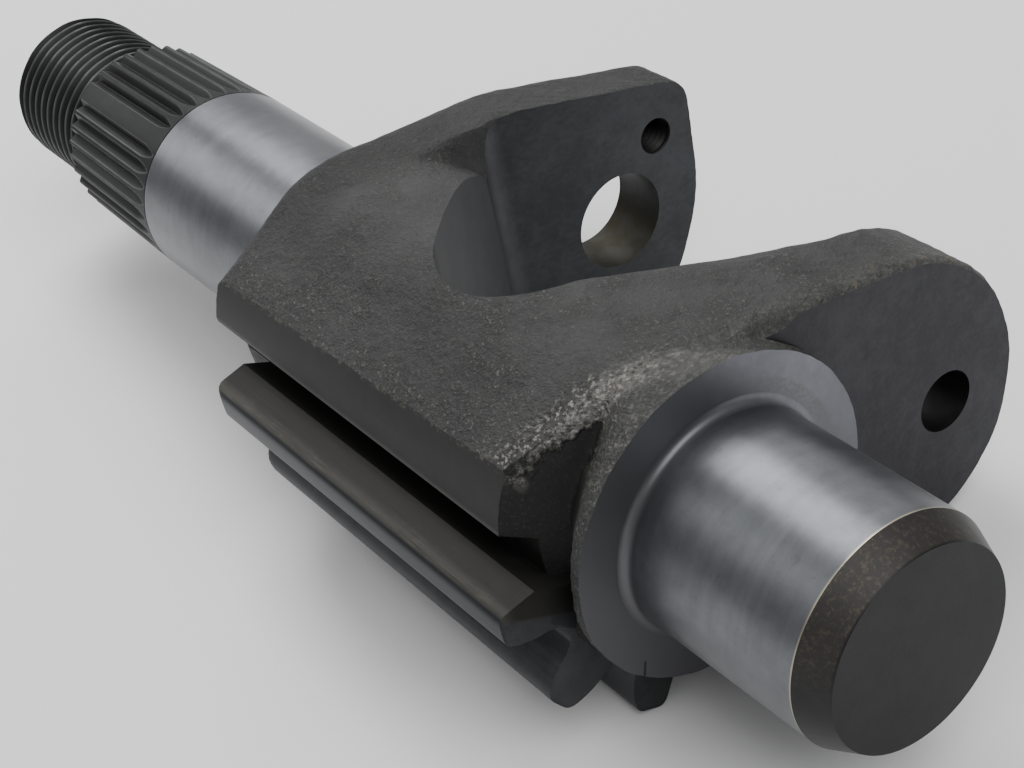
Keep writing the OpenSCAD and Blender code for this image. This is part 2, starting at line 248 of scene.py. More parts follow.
def forgedMaterial():
    material, shader, spot = newMaterial("forgedSkin")
    shader.inputs["Metallic"].default_value = forgedLook["metal"]
    x = spot.part(0)
    y, z, radius = aroundAxis(spot)
    n = slantNormal()
    slant = (x + head["bandBack"]) * n[0] + (y + head["bandR"]) * n[1] + z * n[2]
    ragged = spot.noise(0.6, 3.0, 0.6) - 0.5
    patches = spot.noise(0.07, 3.0, 0.55)
    grains = spot.noise(1.2, 4.0, 0.65)
    coarse = spot.noise(0.55, 3.0, 0.6)
    fine = spot.noise(2.5, 2.0, 0.6)
    specks = spot.noise(1.7, 3.0, 0.6)
    # Pebbly in patches and all along the turned band
    angle = math.radians(forging["shoulderAngle"])
    fromBand = y * math.sin(angle) - z * math.cos(angle)
    pebbly = spot.noise(0.06, 3.0, 0.6).step(0.46, 0.58).most((fromBand + ragged * 10.0).step(-8.0, -12.0))
    # Where the dies sheared the skin: the edge of the slanted face, the collar and the near ear's rim
    reach = (x - forging["ridgeFrom"]).least(0.0)
    line = forging["ridgeR"] + reach * reach * forging["ridgeRise"]
    onBevel = (radius - line + ragged * 1.6).step(-0.45, 0.0) * z.step(7.0, 10.0)
    edge = (slant + ragged * 5.0).step(-6.0, -3.0) * z.step(6.0, 10.0) * x.step(-26.0, -19.0)
    collar = (slant + ragged).step(0.1, 0.8) * z.step(7.0, 15.0)
    collar = collar * radius.step(head["discR"] + 0.5, head["discR"])
    crown = (x + ragged * 5.0).step(-9.5, -4.5) * z.step(15.0, 20.0) * y.step(62.0, 56.0)
    flat = (slant + ragged * 0.5).step(-0.8, -0.3) * (1.0 - collar) * (1.0 - onBevel) * x.step(-18.5, -17.0)
    flat = flat * x.step(-3.0, -4.5)
    edge = edge * (1.0 - flat) * slant.step(1.2, 0.4)
    edge = edge * (1.0 - x.step(-8.5, -4.0) * 0.6)
    torn = edge.most(collar * (0.75 - z.step(20.0, 26.0) * 0.35)).most(crown * 0.35)
    colour = patches.step(0.3, 0.7).over(forgedLook["base"], forgedLook["cloud"])
    both = grains * 0.5 + fine * 0.5
    colour = (both.step(0.53, 0.66) * (0.3 + pebbly * 0.2)).over(colour, forgedLook["light"])
    colour = (both.step(0.47, 0.34) * (0.35 + pebbly * 0.25)).over(colour, forgedLook["dark"])
    pebbles = (specks + pebbly * 0.03).step(0.6, 0.68)
    colour = (pebbles * (0.25 + pebbly * 0.4)).over(colour, forgedLook["pebble"])
    colour = (torn * 0.6).over(colour, forgedLook["bruised"])
    colour = (edge * onBevel * 0.6).over(colour, forgedLook["ridge"])
    streaks = spot.noise(1.4, 3.0, 0.65, (1.0, 0.6, 1.3))
    colour = (torn * streaks.step(0.52, 0.63) * (0.4 + edge * 0.5)).over(colour, forgedLook["grain"])
    pits = (streaks * 0.7 + coarse * 0.3).step(0.48, 0.38)
    colour = (torn * pits * 0.8).over(colour, forgedLook["dark"])
    # Two short nicks across the torn edge, and a bright chip at its lower end
    nicks = (x * 0.8 - y * 0.6 + 4.4).absolute().step(0.4, 0.15)
    colour = (edge * nicks * coarse.step(0.4, 0.5) * 0.8).over(colour, forgedLook["dark"])
    chip = ((x + 14.4) ** 2.0 + (y + 27.2) ** 2.0 + (z - 9.0) ** 2.0) ** 0.5 + ragged * 1.5
    colour = (chip.step(1.5, 0.8) * 0.8).over(colour, forgedLook["grain"])
    rust = crown * spot.noise(0.4, 2.0, 0.6).step(0.56, 0.68) * y.step(20.0, 30.0)
    colour = (rust * 0.55).over(colour, forgedLook["rust"])
    # Painted shade: the top of the far ear is darkened
    colour = (x.step(-84.0, -90.0) * z.step(12.0, 20.0) * 0.35).over(colour, forgedLook["dark"])
    # Painted shade darkens the slanted face almost to black
    colour = (flat * 0.85).over(colour, forgedLook["smooth"])
    roughness = 0.55 + 0.12 * patches - torn * 0.1
    height = grains * 0.8 + fine * 0.4 + coarse * 0.5 + pebbles * (0.12 + pebbly * 0.2)
    height = height * (0.7 + torn * 1.1 + pebbly * 0.5) * (1.0 - flat * 0.85)
    finishMaterial(material, shader, colour, roughness, height, forgedLook["relief"], 1.0)
    return material


# Cut faces: two tones as they look on a screen, and how the marks of the cut are stretched along X, Y and Z
steelLook = {
    "milledSteel": {"tones": ((45, 46, 48), (60, 61, 64)), "marks": (0.6, 0.5, 1.0), "spread": 0.14},
    "facedSteel": {
        "tones": ((42, 42, 45), (57, 57, 60)), "marks": (0.3, 1.2, 1.2),
        "spread": 0.15, "rough": 0.4,
    },
    "turnedSteel": {"tones": ((106, 107, 113), (126, 127, 135)), "marks": (2.0, 0.3, 0.3), "rough": 0.36},
    "boredSteel": {"tones": ((28, 29, 30), (54, 54, 52)), "marks": (3.6, 0.4, 0.4)},
    "toothSteel": {"tones": ((44, 45, 47), (66, 67, 69)), "marks": (0.03, 2.5, 2.5)},
    "bandSteel": {"tones": ((48, 48, 48), (58, 58, 58)), "marks": (0.05, 1.8, 1.8), "rough": 0.48},
    "phosphateSteel": {"tones": ((27, 28, 28), (44, 46, 46)), "marks": (0.3, 0.9, 0.9), "rough": 0.45},
    # The walls of the holes get darker tones, as painted shade for the insides of the holes
    "holeSteel": {"tones": ((22, 22, 22), (40, 40, 39)), "marks": (3.0, 0.6, 0.6), "rough": 0.5},
    "endSteel": {"tones": ((32, 32, 33), (44, 44, 45)), "marks": (0.3, 0.9, 0.9)},
    "groundSteel": {
        "tones": ((87, 89, 92), (110, 112, 116)), "marks": (0.5, 0.05, 0.05),
        "rough": 0.29, "metal": 0.82, "depth": 0.00002,
    },
}
plainCut = {"rough": 0.42, "metal": 0.75, "depth": 0.00003, "spread": 0.24}


def machinedMaterial(name, shade=None):
    # Cut steel with fine marks of the tool, clouds and a few stains
    look = {**plainCut, **steelLook[name]}
    low, high = look["tones"]
    material, shader, spot = newMaterial(name)
    shader.inputs["Metallic"].default_value = look["metal"]
    marks = spot.noise(1.0, 3.0, 0.6, look["marks"])
    cloud = spot.noise(0.06, 3.0, 0.5)
    mottle = spot.noise(0.3, 4.0, 0.65)
    mix = marks * 0.3 + cloud * 0.35 + mottle * 0.35
    colour = mix.step(0.51 - look["spread"], 0.51 + look["spread"]).over(low, high)
    stain = spot.noise(0.5, 3.0, 0.6).step(0.62, 0.74)
    colour = (stain * 0.25).over(colour, (low[0] * 0.7, low[1] * 0.66, low[2] * 0.6))
    roughness = look["rough"] + 0.1 * marks
    if shade is not None:
        colour, roughness = shade(spot, colour, roughness)
    finishMaterial(material, shader, colour, roughness, marks, look["depth"], 0.6)
    return material


# How single faces differ from plain cut steel, in tones as they look on a screen; some are painted
# highlights, painted reflection and painted shade
faceLook = {
    "discReflectionShade": (86, 86, 89), "rootLight": (104, 104, 104), "lowerEdgeHighlight": (86, 86, 84), "rimHighlight": (124, 119, 108),
    "flankBrown": (62, 61, 57), "flankPale": (80, 78, 73), "flankDark": (32, 31, 30),
    "crestBlue": (42, 44, 47), "rustSpot": (90, 82, 71), "upperLeftTone": (70, 68, 65), "oilBrown": (38, 36, 22),
    "paleEdge": (176, 168, 146), "crestHighlight": (84, 86, 85), "scratchAndRootShade": (24, 24, 24),
}


def discShade(spot, colour, roughness):
    # Painted reflection: the thrust face is darker to the lower left and the far right, brightest to the
    # upper right; near the journal it has a speckled, rougher ring of another tone
    y, z, radius = aroundAxis(spot)
    reflectionLight = (y * 0.72 + z * 0.69 + (spot.noise(0.09, 2.0, 0.5) - 0.5) * 7.0).step(4.0, 27.0)
    reflectionLight = reflectionLight * (0.55 + 0.45 * (y - z * 0.45).step(17.0, 6.0))
    colour = (1.0 - reflectionLight).over(colour, faceLook["discReflectionShade"])
    scratch = (y + 14.6).absolute().step(0.35, 0.1) * z.between(-23.0, -20.5, 0.3)
    colour = (scratch * 0.8).over(colour, faceLook["scratchAndRootShade"])
    toneMark = radius.between(20.8, 22.8, 0.7) * (spot.noise(1.6, 3.0, 0.6).step(0.42, 0.6) * 0.5 + 0.2)
    toneMark = toneMark * (y + z * 0.4).step(4.0, 16.0)
    colour = toneMark.over(colour, faceLook["rootLight"])
    return colour, roughness + toneMark * 0.15


def toothShade(spot, colour, roughness):
    # The outer flank is brown-grey with lengthwise scratches, darkened with painted shade towards its root,
    # and the crests are bluish
    y, z, radius = aroundAxis(spot)
    crest = radius.step(sector["tipR"] - 0.66, sector["tipR"] - 0.26)
    outer = (z + 9.9 + (y + 36.0) * 0.26).step(1.6, 2.6) * (1.0 - crest)
    colour = (outer * 0.9).over(colour, faceLook["flankBrown"])
    streak = spot.noise(1.0, 6.0, 0.75, (0.12, 2.2, 2.2))
    cloud = spot.noise(0.25, 4.0, 0.65)
    pale = (streak * 0.5 + cloud * 0.5).step(0.5, 0.64)
    colour = (outer * pale * 0.6).over(colour, faceLook["flankPale"])
    colour = (outer * streak.step(0.5, 0.36) * 0.45).over(colour, faceLook["flankDark"])
    # Painted shade towards the root of the outer flank
    paintedRootShade = radius.step(sector["tipR"] - 0.66, sector["tipR"] - 3.26)
    colour = (outer * paintedRootShade * 0.85).over(colour, faceLook["flankDark"])
    colour = (crest * 0.8).over(colour, faceLook["crestBlue"])
    return colour, roughness + outer * 0.1


def boreShade(spot, colour, roughness):
    # Oil has browned the low side of the bore
    oiled = spot.part(2).step(1.5, -4.0) * (spot.noise(0.3, 4.0, 0.65).step(0.35, 0.6) * 0.6 + 0.3)
    return oiled.over(colour, faceLook["oilBrown"]), roughness + oiled * 0.12


def bandShade(spot, colour, roughness):
    # Painted highlights on the turned band: along its lower edge, and in dashes along its upper edge
    lowerEdgeHighlight = spot.part(2).step(1.5, 0.8) * (0.5 + spot.noise(0.8, 3.0, 0.6) * 0.5)
    colour = lowerEdgeHighlight.over(colour, faceLook["lowerEdgeHighlight"])
    angle = math.radians(forging["shoulderAngle"])
    taper = (head["nearR"] - head["farR"]) / (head["nearFace"] - head["farFace"])
    upper = spot.part(1) * math.cos(angle) + spot.part(2) * math.sin(angle) - spot.part(0) * taper
    rimHighlights = upper.step(27.0, 27.3) * spot.noise(0.9, 3.0, 0.7).step(0.5, 0.62) * 0.45
    return rimHighlights.over(colour, faceLook["rimHighlight"]), roughness


def cutShade(spot, colour, roughness):
    # Painted highlights on the crests and painted shade in the roots of the thread and the serrations
    x = spot.part(0)
    y, z, radius = aroundAxis(spot)
    onThread = x.step(shaft["threadX"] + 0.1, shaft["threadX"] - 0.5)
    taper = (shaft["r"] - shaft["tipR"]) / (shaft["serrationX"] - shaft["threadX"])
    blank = shaft["r"] + (x - shaft["serrationX"]) * taper
    crest = onThread * shaft["threadR"] + (1.0 - onThread) * blank
    depth = (crest - radius).most(0.0)
    highlightPatches = spot.noise(0.35, 3.0, 0.6).step(0.3, 0.6) * 0.3 + 0.55
    bright = depth.step(0.34, 0.08) * depth.step(0.0, 0.06).most(onThread)
    colour = (depth.step(0.25, 0.9) * 0.75).over(colour, faceLook["scratchAndRootShade"])
    colour = (bright * (highlightPatches + onThread * 0.15)).over(colour, faceLook["crestHighlight"])
    return colour, roughness


def journalShade(spot, colour, roughness):
    # A pale line runs round the near journal's end where the chamfer starts
    edge = shaft["nearEnd"] - shaft["chamfer"]
    toneMark = spot.part(0).step(edge - 0.4, edge - 0.1) * (0.4 + spot.noise(0.7, 3.0, 0.6) * 0.6)
    return toneMark.over(colour, faceLook["paleEdge"]), roughness


def chamferShade(spot, colour, roughness):
    # The upper left of the chamfer is lighter, with rust specks on it
    y = spot.part(1)
    z = spot.part(2)
    onChamfer = spot.part(0).step(shaft["nearEnd"] - 0.05, shaft["nearEnd"] - 0.5)
    side = (z - y * 0.3).step(2.0, 12.0) * y.step(14.0, 6.0) * onChamfer
    specks = spot.noise(1.4, 5.0, 0.75).step(0.49, 0.64)
    colour = (side * 0.5).over(colour, faceLook["upperLeftTone"])
    colour = (side * specks * 0.5).over(colour, faceLook["rustSpot"])
    return colour, roughness + side * 0.08


skin = forgedMaterial()
millSteel = machinedMaterial("milledSteel")
faceSteel = machinedMaterial("facedSteel")
discSteel = machinedMaterial("turnedSteel", discShade)
boreSteel = machinedMaterial("boredSteel", boreShade)
toothSteel = machinedMaterial("toothSteel", toothShade)
bandSteel = machinedMaterial("bandSteel", bandShade)
darkSteel = machinedMaterial("phosphateSteel", cutShade)
holeSteel = machinedMaterial("holeSteel")
endSteel = machinedMaterial("endSteel", chamferShade)
journalSteel = machinedMaterial("groundSteel", journalShade)
print("materials made")


def polar(r, angle, centre=(0.0, 0.0)):
    return (centre[0] + r * math.cos(math.radians(angle)), centre[1] + r * math.sin(math.radians(angle)))


def roundedOutline(corners, steps=10):
    # Outline whose corners [x, y, radius] are arcs
    points = []
    count = len(corners)
    for i in range(count):
        a = Vector(corners[i - 1][:2])
        b = Vector(corners[i][:2])
        c = Vector(corners[(i + 1) % count][:2])
        r = corners[i][2]
        if r <= 0:
            points.append((b.x, b.y))
            continue
        u = (a - b).normalized()
        v = (c - b).normalized()
        half = math.acos(max(-1.0, min(1.0, u.dot(v)))) / 2
        centre = b + (u + v).normalized() * r / math.sin(half)
        start = b + u * r / math.tan(half) - centre
        sweep = math.pi - 2 * half
        if u.x * v.y - u.y * v.x > 0:
            sweep = -sweep
        first = math.atan2(start.y, start.x)
        for k in range(steps + 1):
            angle = first + sweep * k / steps
            points.append((centre.x + r * math.cos(angle), centre.y + r * math.sin(angle)))
    return points


def touchPoint(point, r):
    # Where the line from a point touches a circle round the shaft
    angle = math.degrees(math.atan2(point[1], point[0]) + math.acos(r / math.hypot(*point[:2])))
    return polar(r, angle)


def earOutline(far):
    # An ear seen along the shaft: corners [y, z, radius] set from its tip, its top and its bottom
    top = head["top"]
    low = head["bottom"]
    if far:
        tip = head["pin"] + head["farTip"]
        shoulder = (26, top + 0.1, 50)
        rest = [(tip - 4.2, top - 3.4, 6), (tip + 0.8, 2, 34), (tip - 6, low, 20), (4, low - 1, 6)]
        start = touchPoint(shoulder, head["farR"])
    else:
        tip = head["pin"] + head["nearTip"]
        shoulder = (14, top - 0.6, 30)
        rest = [(tip, top, 28), (tip, low, 24.5), (4, low - 1, 6)]
        start = touchPoint(shoulder, head["nearR"] - 0.2)
    return roundedOutline([(start[0], start[1], 0), shoulder, *rest, (-10, 0, 4)])


class FlatField:
    # Signed distance to a closed outline, kept on a grid and read by interpolation
    def __init__(self, outline, low, high, cell=0.5):
        self.low = low
        self.cell = cell
        nu = int((high[0] - low[0]) / cell) + 2
        nv = int((high[1] - low[1]) / cell) + 2
        u, v = np.meshgrid(low[0] + cell * np.arange(nu), low[1] + cell * np.arange(nv), indexing="ij")
        best = np.full(u.shape, 1e9)
        inside = np.zeros(u.shape, dtype=bool)
        points = np.array(outline)
        for a, b in zip(points, np.roll(points, -1, axis=0)):
            e = b - a
            length = float(e @ e)
            if length < 1e-9:
                continue
            t = np.clip(((u - a[0]) * e[0] + (v - a[1]) * e[1]) / length, 0, 1)
            best = np.minimum(best, (u - a[0] - t * e[0]) ** 2 + (v - a[1] - t * e[1]) ** 2)
            cross = (a[1] > v) != (b[1] > v)
            edge = a[0] + e[0] * (v - a[1]) / (e[1] if abs(e[1]) > 1e-9 else 1e-9)
            inside ^= cross & (u < edge)
        self.grid = np.where(inside, -np.sqrt(best), np.sqrt(best))

    def read(self, u, v):
        p = np.clip((u - self.low[0]) / self.cell, 0, self.grid.shape[0] - 1.001)
        q = np.clip((v - self.low[1]) / self.cell, 0, self.grid.shape[1] - 1.001)
        i = p.astype(int)
        j = q.astype(int)
        p = p - i
        q = q - j
        g = self.grid
        low = g[i, j] * (1 - p) + g[i + 1, j] * p
        high = g[i, j + 1] * (1 - p) + g[i + 1, j + 1] * p
        return low * (1 - q) + high * q


def softUnion(a, b, k):
    # Two spaces joined, with the root between them blended over a width
    h = np.clip(0.5 + 0.5 * (b - a) / k, 0, 1)
    return b * (1 - h) + a * h - k * h * (1 - h)


def softCommon(a, b, k):
    return -softUnion(-a, -b, k)


def roundCommon(a, b, r):
    # Common part of two spaces, with the edge between them rounded
    outside = np.hypot(np.maximum(a + r, 0), np.maximum(b + r, 0))
    return outside + np.minimum(np.maximum(a, b) + r, 0) - r


def smoothRise(value):
    t = np.clip(value, 0, 1)
    return t * t * (3 - 2 * t)


farField = FlatField(earOutline(True), (-45, -50), (85, 50))
nearField = FlatField(earOutline(False), (-45, -50), (85, 50))


def barrelWall(x, radius):
    # The barrel between the ears tapers towards the far one
    taper = (x - head["farFace"]) / (head["nearFace"] - head["farFace"])
    return radius - (head["farR"] + (head["nearR"] - head["farR"]) * taper)


def earsDistance(x, y, z, wall, farEnd):
    # Each ear is a section that spreads smoothly from the barrel
    farPlan = farField.read(y, z)
    nearPlan = nearField.read(y, z)
    outside = np.maximum(0, 0.5 * (y - 44))
    spread = forging["farSpread"] + forging["farSpreadOut"] * smoothRise((y - 20) / 6)
    mix = smoothRise((forging["farRoot"] - forging["farSpread"] + spread - x) / spread)
    farPart = wall * (1 - mix) + farPlan * mix + outside * (1 - mix)
    mix = smoothRise((x - head["nearEar"] + forging["nearSpread"]) / forging["nearSpread"])
    nearPart = wall * (1 - mix) + nearPlan * mix + outside * (1 - mix)
    part = softUnion(np.minimum(farPart, nearPart), wall, forging["rootBlend"])
    # The near end keeps stock for the ear's face, and sinks a little where the ear leaves the collar
    nearEnd = np.where(y > -8, head["nearFace"] + forging["stock"], -1.0)
    sink = smoothRise((z - 24.5) / 2.5) * smoothRise((y - 6) / 3) * smoothRise((18 - y) / 6)
    nearEnd = nearEnd - 1.8 * sink
    return roundCommon(part, np.maximum(farEnd, x - nearEnd), forging["earRound"])


def thickBackDistance(x, y, z, radius, wall, farEnd):
    # Thick back under the turned band, from its shoulder down to its lower edge above the first tooth
    angle = math.radians(forging["shoulderAngle"])
    shoulder = y * math.cos(angle) + z * math.sin(angle) - (radius - wall)
    lower = -(z + 0.13 + (y + 25.0) * 0.183) * 0.983 - 0.6
    thick = roundCommon(radius - head["bandR"] - 0.6, shoulder, 0.5)
    thick = np.maximum(np.maximum(thick, lower), y * math.sin(angle) - z * math.cos(angle))
    return roundCommon(np.maximum(thick, x + 8.0), farEnd, forging["earRound"])


def tornBevel(x, z, radius, slanted):
    # Torn bevel along the upper edge of the slanted face
    line = forging["ridgeR"] + forging["ridgeRise"] * np.minimum(0, x - forging["ridgeFrom"]) ** 2
    return (radius - line + slanted) / 1.5 - 3.0 * smoothRise((10 - z) / 5) - 2.0 * smoothRise((x + 7.0) / 3)


def collarDistance(x, radius, around):
    # The collar tapers from the disc to the slanted face, more steeply on the way down
    steep = 0.72 * smoothRise((around - 118) / 28) + 0.35 * smoothRise((around - 165) / 20)
    steep = np.where(around > 300, 0.0, steep)
    cone = (radius - head["discR"] - (x + 1.8) * steep) / np.sqrt(1 + steep * steep)
    return roundCommon(np.maximum(radius - head["discR"] + 0.2, cone), np.maximum(x - 0.8, -13.0 - x), 0.4)


def dieWaves(x, y, z):
    # The dies leave the skin slightly wavy
    broad = np.sin(x * 0.31 + 1.7 * np.sin(y * 0.17)) * np.sin(y * 0.27 + 1.3 * np.sin(z * 0.21))
    broad = broad + 0.6 * np.sin(z * 0.43 + x * 0.23) * np.sin(x * 0.37 - y * 0.41 + 1.0)
    fine = np.sin(x * 1.31 + 2.1 * np.sin(z * 0.9)) * np.sin(y * 1.17 + 1.9 * np.sin(x * 0.8))
    fine = fine * np.sin(z * 1.23 + 0.5)
    return forging["wave"] * (0.6 * broad + 0.5 * fine)


def forgedDistance(x, y, z):
    # How far a point lies outside the forging, before anything is cut
    radius = np.hypot(y, z)
    around = np.degrees(np.arctan2(z, y)) % 360
    wall = barrelWall(x, radius)
    farEnd = head["farFace"] - forging["farStock"] - x
    body = earsDistance(x, y, z, wall, farEnd)
    body = softUnion(body, thickBackDistance(x, y, z, radius, wall, farEnd), 0.3)
    n = slantNormal()
    slanted = (x + head["bandBack"]) * n[0] + (y + head["bandR"]) * n[1] + z * n[2]
    body = softCommon(body, slanted, forging["edgeSoft"])
    body = softCommon(body, tornBevel(x, z, radius, slanted), 0.5)
    # A soft crease grows at the collar's foot on the way down
    crease = 0.2 + forging["crease"] * smoothRise((around - 112) / 25)
    body = softUnion(body, collarDistance(x, radius, around), crease)
    return body + dieWaves(x, y, z)


def sampleField(field, low, high, cell):
    # Distances on a grid, worked out only in the blocks near the surface
    block = 8
    counts = [int(math.ceil((high[i] - low[i]) / cell / block)) for i in range(3)]
    values = np.full([c * block + 1 for c in counts], 1.0, dtype=np.float32)
    centres = [low[i] + cell * block * (np.arange(counts[i]) + 0.5) for i in range(3)]
    rough = field(*np.meshgrid(*centres, indexing="ij"))
    reach = cell * block * 0.866 + 2.5
    for i, j, k in np.argwhere(np.abs(rough) >= reach):
        spot = tuple(slice(n * block, n * block + block + 1) for n in (i, j, k))
        values[spot] = np.where(rough[i, j, k] > 0, 1.0, -1.0)
    near = np.argwhere(np.abs(rough) < reach)
    ticks = cell * np.arange(block + 1)
    for start in range(0, len(near), 400):
        part = near[start:start + 400]
        shapeOf = (len(part), block + 1, block + 1, block + 1)
        xs, ys, zs = (low[n] + cell * block * part[:, n][:, None] + ticks for n in range(3))
        px = np.broadcast_to(xs[:, :, None, None], shapeOf)
        py = np.broadcast_to(ys[:, None, :, None], shapeOf)
        pz = np.broadcast_to(zs[:, None, None, :], shapeOf)
        found = field(px, py, pz).astype(np.float32)
        for n, (i, j, k) in enumerate(part):
            spot = tuple(slice(m * block, m * block + block + 1) for m in (i, j, k))
            values[spot] = found[n]
    return values


def surfacePoints(values, low, cell):
    # One point in each cell that the surface crosses, and the number of each cell's point
    signs = values < 0
    offsets = [(dx, dy, dz) for dx in (0, 1) for dy in (0, 1) for dz in (0, 1)]
    sizeOf = [n - 1 for n in signs.shape]
    inside = [signs[a:sizeOf[0] + a, b:sizeOf[1] + b, c:sizeOf[2] + c] for a, b, c in offsets]
    total = sum(corner.astype(np.int8) for corner in inside)
    active = (total > 0) & (total < 8)
    cells = np.argwhere(active)
    index = np.full(active.shape, -1, dtype=np.int64)
    index[tuple(cells.T)] = np.arange(len(cells))
    crossings = np.zeros((len(cells), 3))
    weight = np.zeros(len(cells))
    for a in offsets:
        for axis in range(3):
            if a[axis]:
                continue
            b = list(a)
            b[axis] = 1
            va = values[cells[:, 0] + a[0], cells[:, 1] + a[1], cells[:, 2] + a[2]].astype(float)
            vb = values[cells[:, 0] + b[0], cells[:, 1] + b[1], cells[:, 2] + b[2]].astype(float)
            cross = (va < 0) != (vb < 0)
            share = np.where(cross, va / np.where(cross, va - vb, 1.0), 0.0)
            spot = np.array(a, dtype=float)[None, :] + np.zeros((len(cells), 3))
            spot[:, axis] = share
            crossings += np.where(cross[:, None], spot, 0.0)
            weight += cross
    return np.array(low) + cell * (cells + crossings / weight[:, None]), index


def surfaceQuads(values, index):
    # A quad across each grid edge that the surface crosses, facing outward
    signs = values < 0
    quads = []
    for axis in range(3):
        other = [i for i in range(3) if i != axis]
        a = signs[tuple(slice(0, -1) if i == axis else slice(1, -1) for i in range(3))]
        b = signs[tuple(slice(1, None) if i == axis else slice(1, -1) for i in range(3))]
        for out, flipped in ((a & ~b, False), (~a & b, True)):
            at = np.argwhere(out)
            for i in other:
                at[:, i] += 1
            ring = []
            for du, dv in ((0, 0), (-1, 0), (-1, -1), (0, -1)):
                cellAt = at.copy()
                cellAt[:, other[0]] += du
                cellAt[:, other[1]] += dv
                ring.append(index[tuple(cellAt.T)])
            ring = np.stack(ring, axis=1)
            if flipped != (axis == 1):
                ring = ring[:, ::-1]
            quads.append(ring)
    return np.concatenate(quads)


def settlePoints(points, field, cell):
    # Two steps put the points exactly on the surface
    d = 0.05
    for _ in range(2):
        x, y, z = points.T
        here = field(x, y, z)
        slope = np.stack([
            field(x + d, y, z) - field(x - d, y, z),
            field(x, y + d, z) - field(x, y - d, z),
            field(x, y, z + d) - field(x, y, z - d),
        ], axis=1) / (2 * d)
        size = np.maximum((slope ** 2).sum(axis=1), 0.25)
        move = slope * (here / size)[:, None]
        length = np.maximum(np.linalg.norm(move, axis=1), 1e-9)
        points = points - move * np.minimum(1.0, cell * 0.6 / length)[:, None]
    return points


def netSurface(field, low, high, cell):
    # Smooth surface of a distance field
    values = sampleField(field, low, high, cell)
    points, index = surfacePoints(values, low, cell)
    return settlePoints(points, field, cell), surfaceQuads(values, index)


def meshObject(name, points, faces, materials, places=None):
    mesh = bpy.data.meshes.new(name)
    mesh.from_pydata(toPart(points).tolist(), [], [list(map(int, face)) for face in faces])
    for material in materials:
        mesh.materials.append(material)
    if places is not None:
        mesh.polygons.foreach_set("material_index", places)
    mesh.update()
    thing = bpy.data.objects.new(name, mesh)
    bpy.context.scene.collection.objects.link(thing)
    return thing


def markPlaces(thing, angle=28):
    # Stores each point's place on the shaft and makes edges crisp where the surface turns
    mesh = thing.data
    flat = np.empty(len(mesh.vertices) * 3)
    mesh.vertices.foreach_get("co", flat)
    spots = toShaft(flat.reshape(-1, 3))
    if "shaftPlace" in mesh.attributes:
        mesh.attributes.remove(mesh.attributes["shaftPlace"])
    store = mesh.attributes.new("shaftPlace", "FLOAT_VECTOR", "POINT")
    store.data.foreach_set("vector", spots.ravel())
    for polygon in mesh.polygons:
        polygon.use_smooth = True
    made = bmesh.new()
    made.from_mesh(mesh)
    limit = math.radians(angle)
    for edge in made.edges:
        if len(edge.link_faces) != 2:
            edge.smooth = False
            continue
        a, b = edge.link_faces
        edge.smooth = a.material_index == b.material_index and edge.calc_face_angle(0.0) < limit
    made.to_mesh(mesh)
    made.free()


def addPiece(thing):
    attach(thing, resting["bodyName"])
    return thing


def closedSkin(rows, count):
    # Faces over rings of points, with a cap at each end
    faces = []
    for i in range(rows - 1):
        for k in range(count):
            n = (k + 1) % count
            faces.append((i * count + k, (i + 1) * count + k, (i + 1) * count + n, i * count + n))
    faces.append(list(range(count)))
    faces.append([(rows - 1) * count + k for k in reversed(range(count))])
    return faces


def faceOutward(thing, weld=0.0):
    # Turns every face outward, once points closer than the weld distance are joined
    made = bmesh.new()
    made.from_mesh(thing.data)
    if weld > 0:
        bmesh.ops.remove_doubles(made, verts=made.verts, dist=weld)
    bmesh.ops.recalc_face_normals(made, faces=made.faces)
    made.to_mesh(thing.data)
    made.free()
    return thing


def evaluatedMesh(thing):
    return bpy.data.meshes.new_from_object(thing.evaluated_get(bpy.context.evaluated_depsgraph_get()))


def prism(name, outline, start, end, material):
    # Solid along the shaft between two equal flat outlines
    points = [(x, u, v) for x in (start, end) for u, v in outline]
    return faceOutward(meshObject(name, points, closedSkin(2, len(outline)), [material]))


def circleOutline(centre, r, count=96):
    return [polar(r, 360 * i / count, centre) for i in range(count)]


def cutAway(thing, tools):
    for tool in tools:
        cut = thing.modifiers.new("cut", "BOOLEAN")
        cut.operation = "DIFFERENCE"
        cut.solver = "MANIFOLD"
        cut.material_mode = "TRANSFER"
        cut.object = tool
    made = evaluatedMesh(thing)
    old = thing.data
    thing.modifiers.clear()
    thing.data = made
    bpy.data.meshes.remove(old)
    for tool in tools:
        data = tool.data
        bpy.data.objects.remove(tool)
        bpy.data.meshes.remove(data)


# The fork's throat: how its floor lies, the cutter of its far corner, and the runs of its two sides
fork = {
    "lean": 12.5, "depth": 14.5, "floorR": 17.0, "flareY": 20.0, "cornerR": 8.27, "cornerOut": 0.31,
    "farRun": 31.3, "nearRun": 20.8, "nearRise": 49.4, "nearR": 18, "height": 24, "reach": 120,
}


